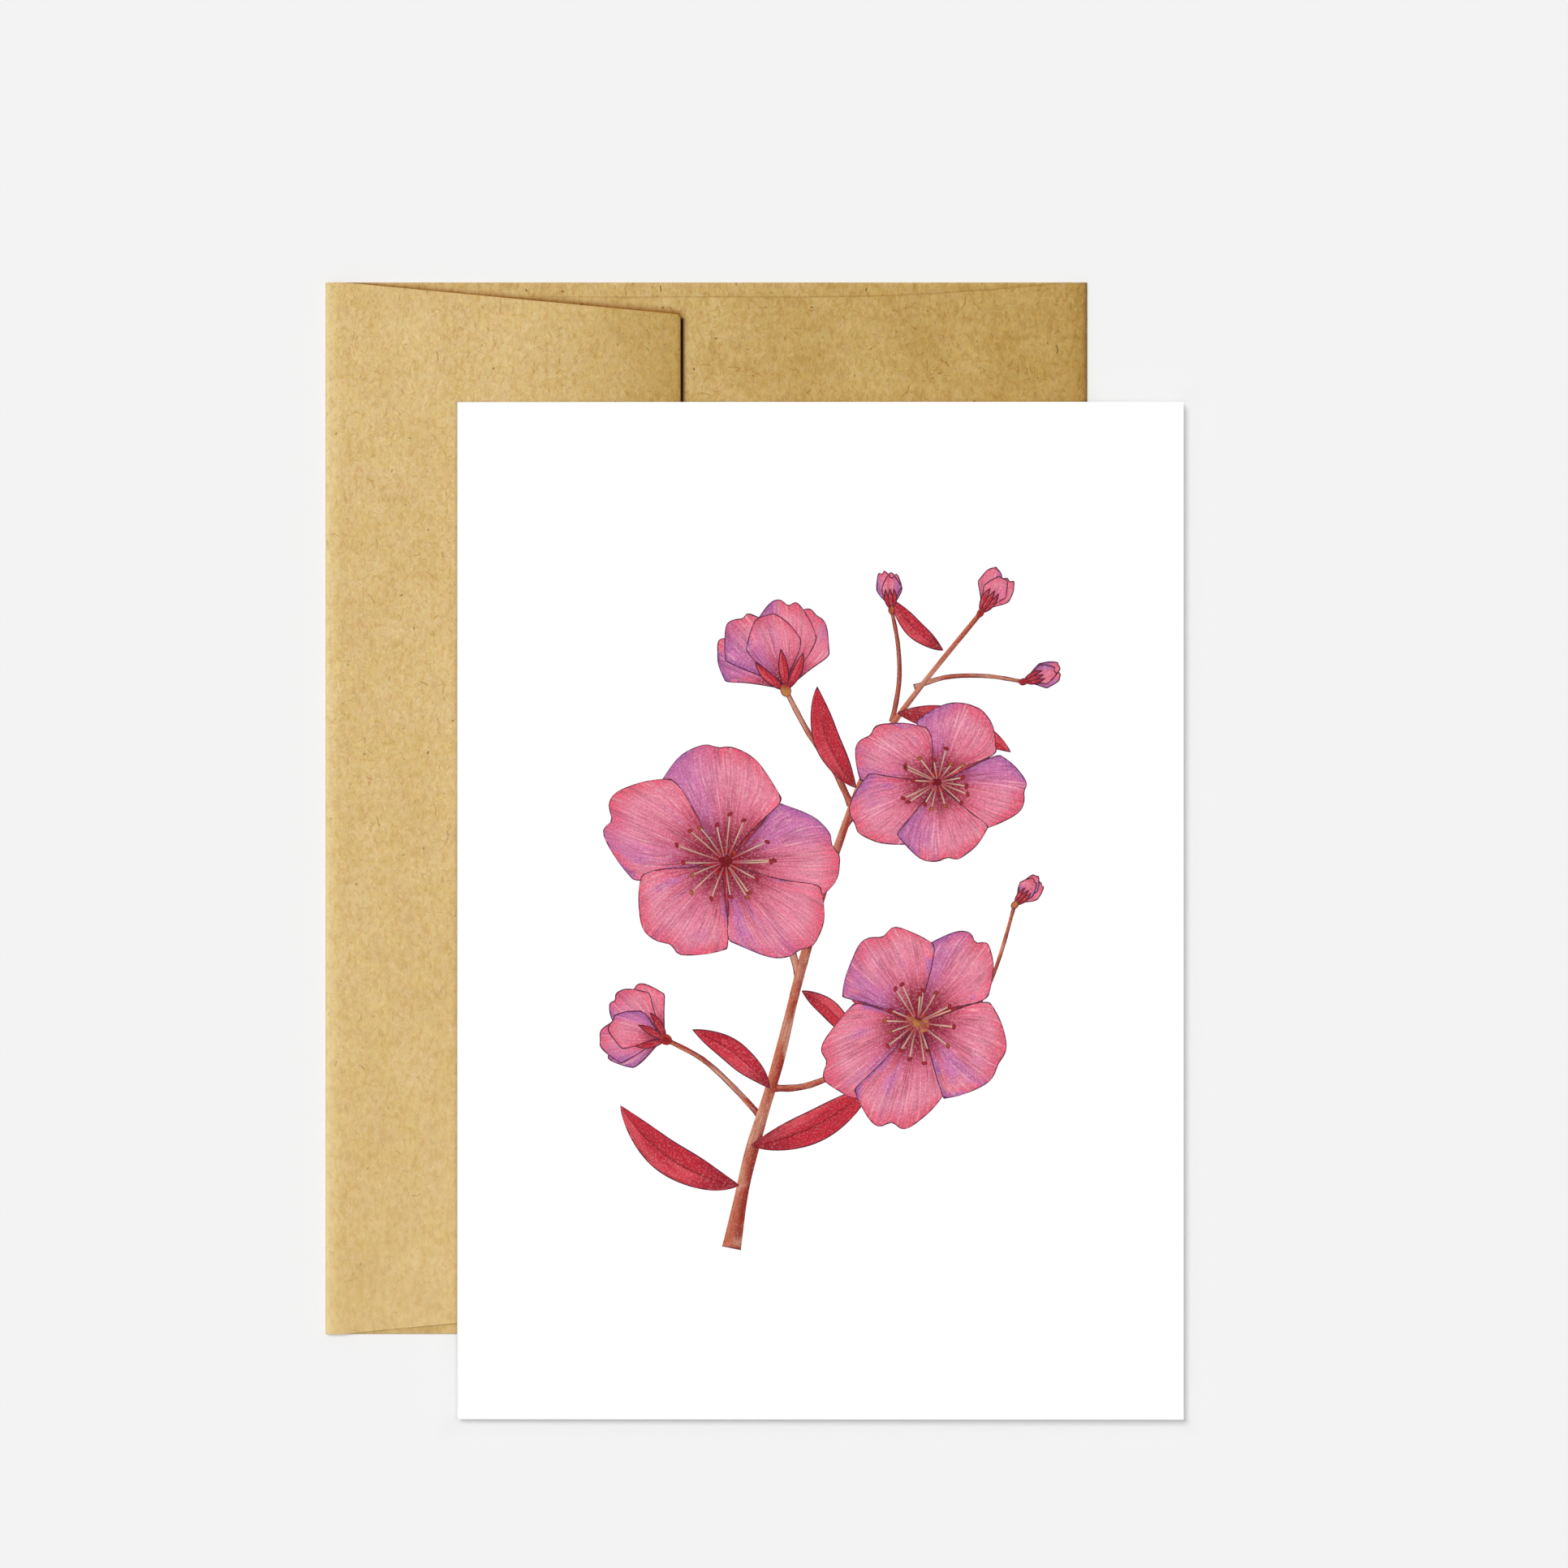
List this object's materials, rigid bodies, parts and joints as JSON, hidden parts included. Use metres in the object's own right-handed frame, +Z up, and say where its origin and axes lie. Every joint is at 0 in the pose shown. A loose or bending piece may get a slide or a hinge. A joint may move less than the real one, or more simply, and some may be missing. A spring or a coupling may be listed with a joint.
{
  "type": "greeting card with envelope",
  "caption": "Folded white greeting card lying on its closed kraft paper envelope, flap side up; the card's cover opens about its crease.",
  "frame": {"origin": "on the surface, under the middle of the outline that card and envelope make together", "axes": "+Y up the card's front along its crease, +X from the crease to the card's open edge, +Z up off the surface"},
  "size_m": [0.15, 0.1988, 0.0032],
  "materials": {
    "kraft_paper": "matte, mottled brown kraft",
    "card_stock": "smooth uncoated white",
    "dry_gum": "slightly glossy dry gum",
    "seam_glue": "thin dried glue film"
  },
  "bodies": {
    "base": {"envelope_face_panel": "kraft_paper", "envelope_left_fold": "kraft_paper", "envelope_right_fold": "kraft_paper", "envelope_upper_fold": "kraft_paper", "envelope_lower_fold": "kraft_paper", "envelope_upper_side_flap": "kraft_paper", "envelope_lower_side_flap": "kraft_paper", "seam_glue_upper": "seam_glue", "seam_glue_lower": "seam_glue", "envelope_back_panel": "kraft_paper", "envelope_seal_flap": "kraft_paper", "envelope_gum_strip": "dry_gum", "card_back_panel": "card_stock", "card_crease": "card_stock"},
    "cover": {"card_cover": "card_stock"}
  },
  "joints": [
    {"name": "card_fold", "type": "hinge", "parent": "base", "child": "cover", "pos_m": [-0.05146, 0, 0.00185], "axis": [0, -1, 0], "range_deg": [0, 178], "deforming": ["card_crease"]}
  ]
}
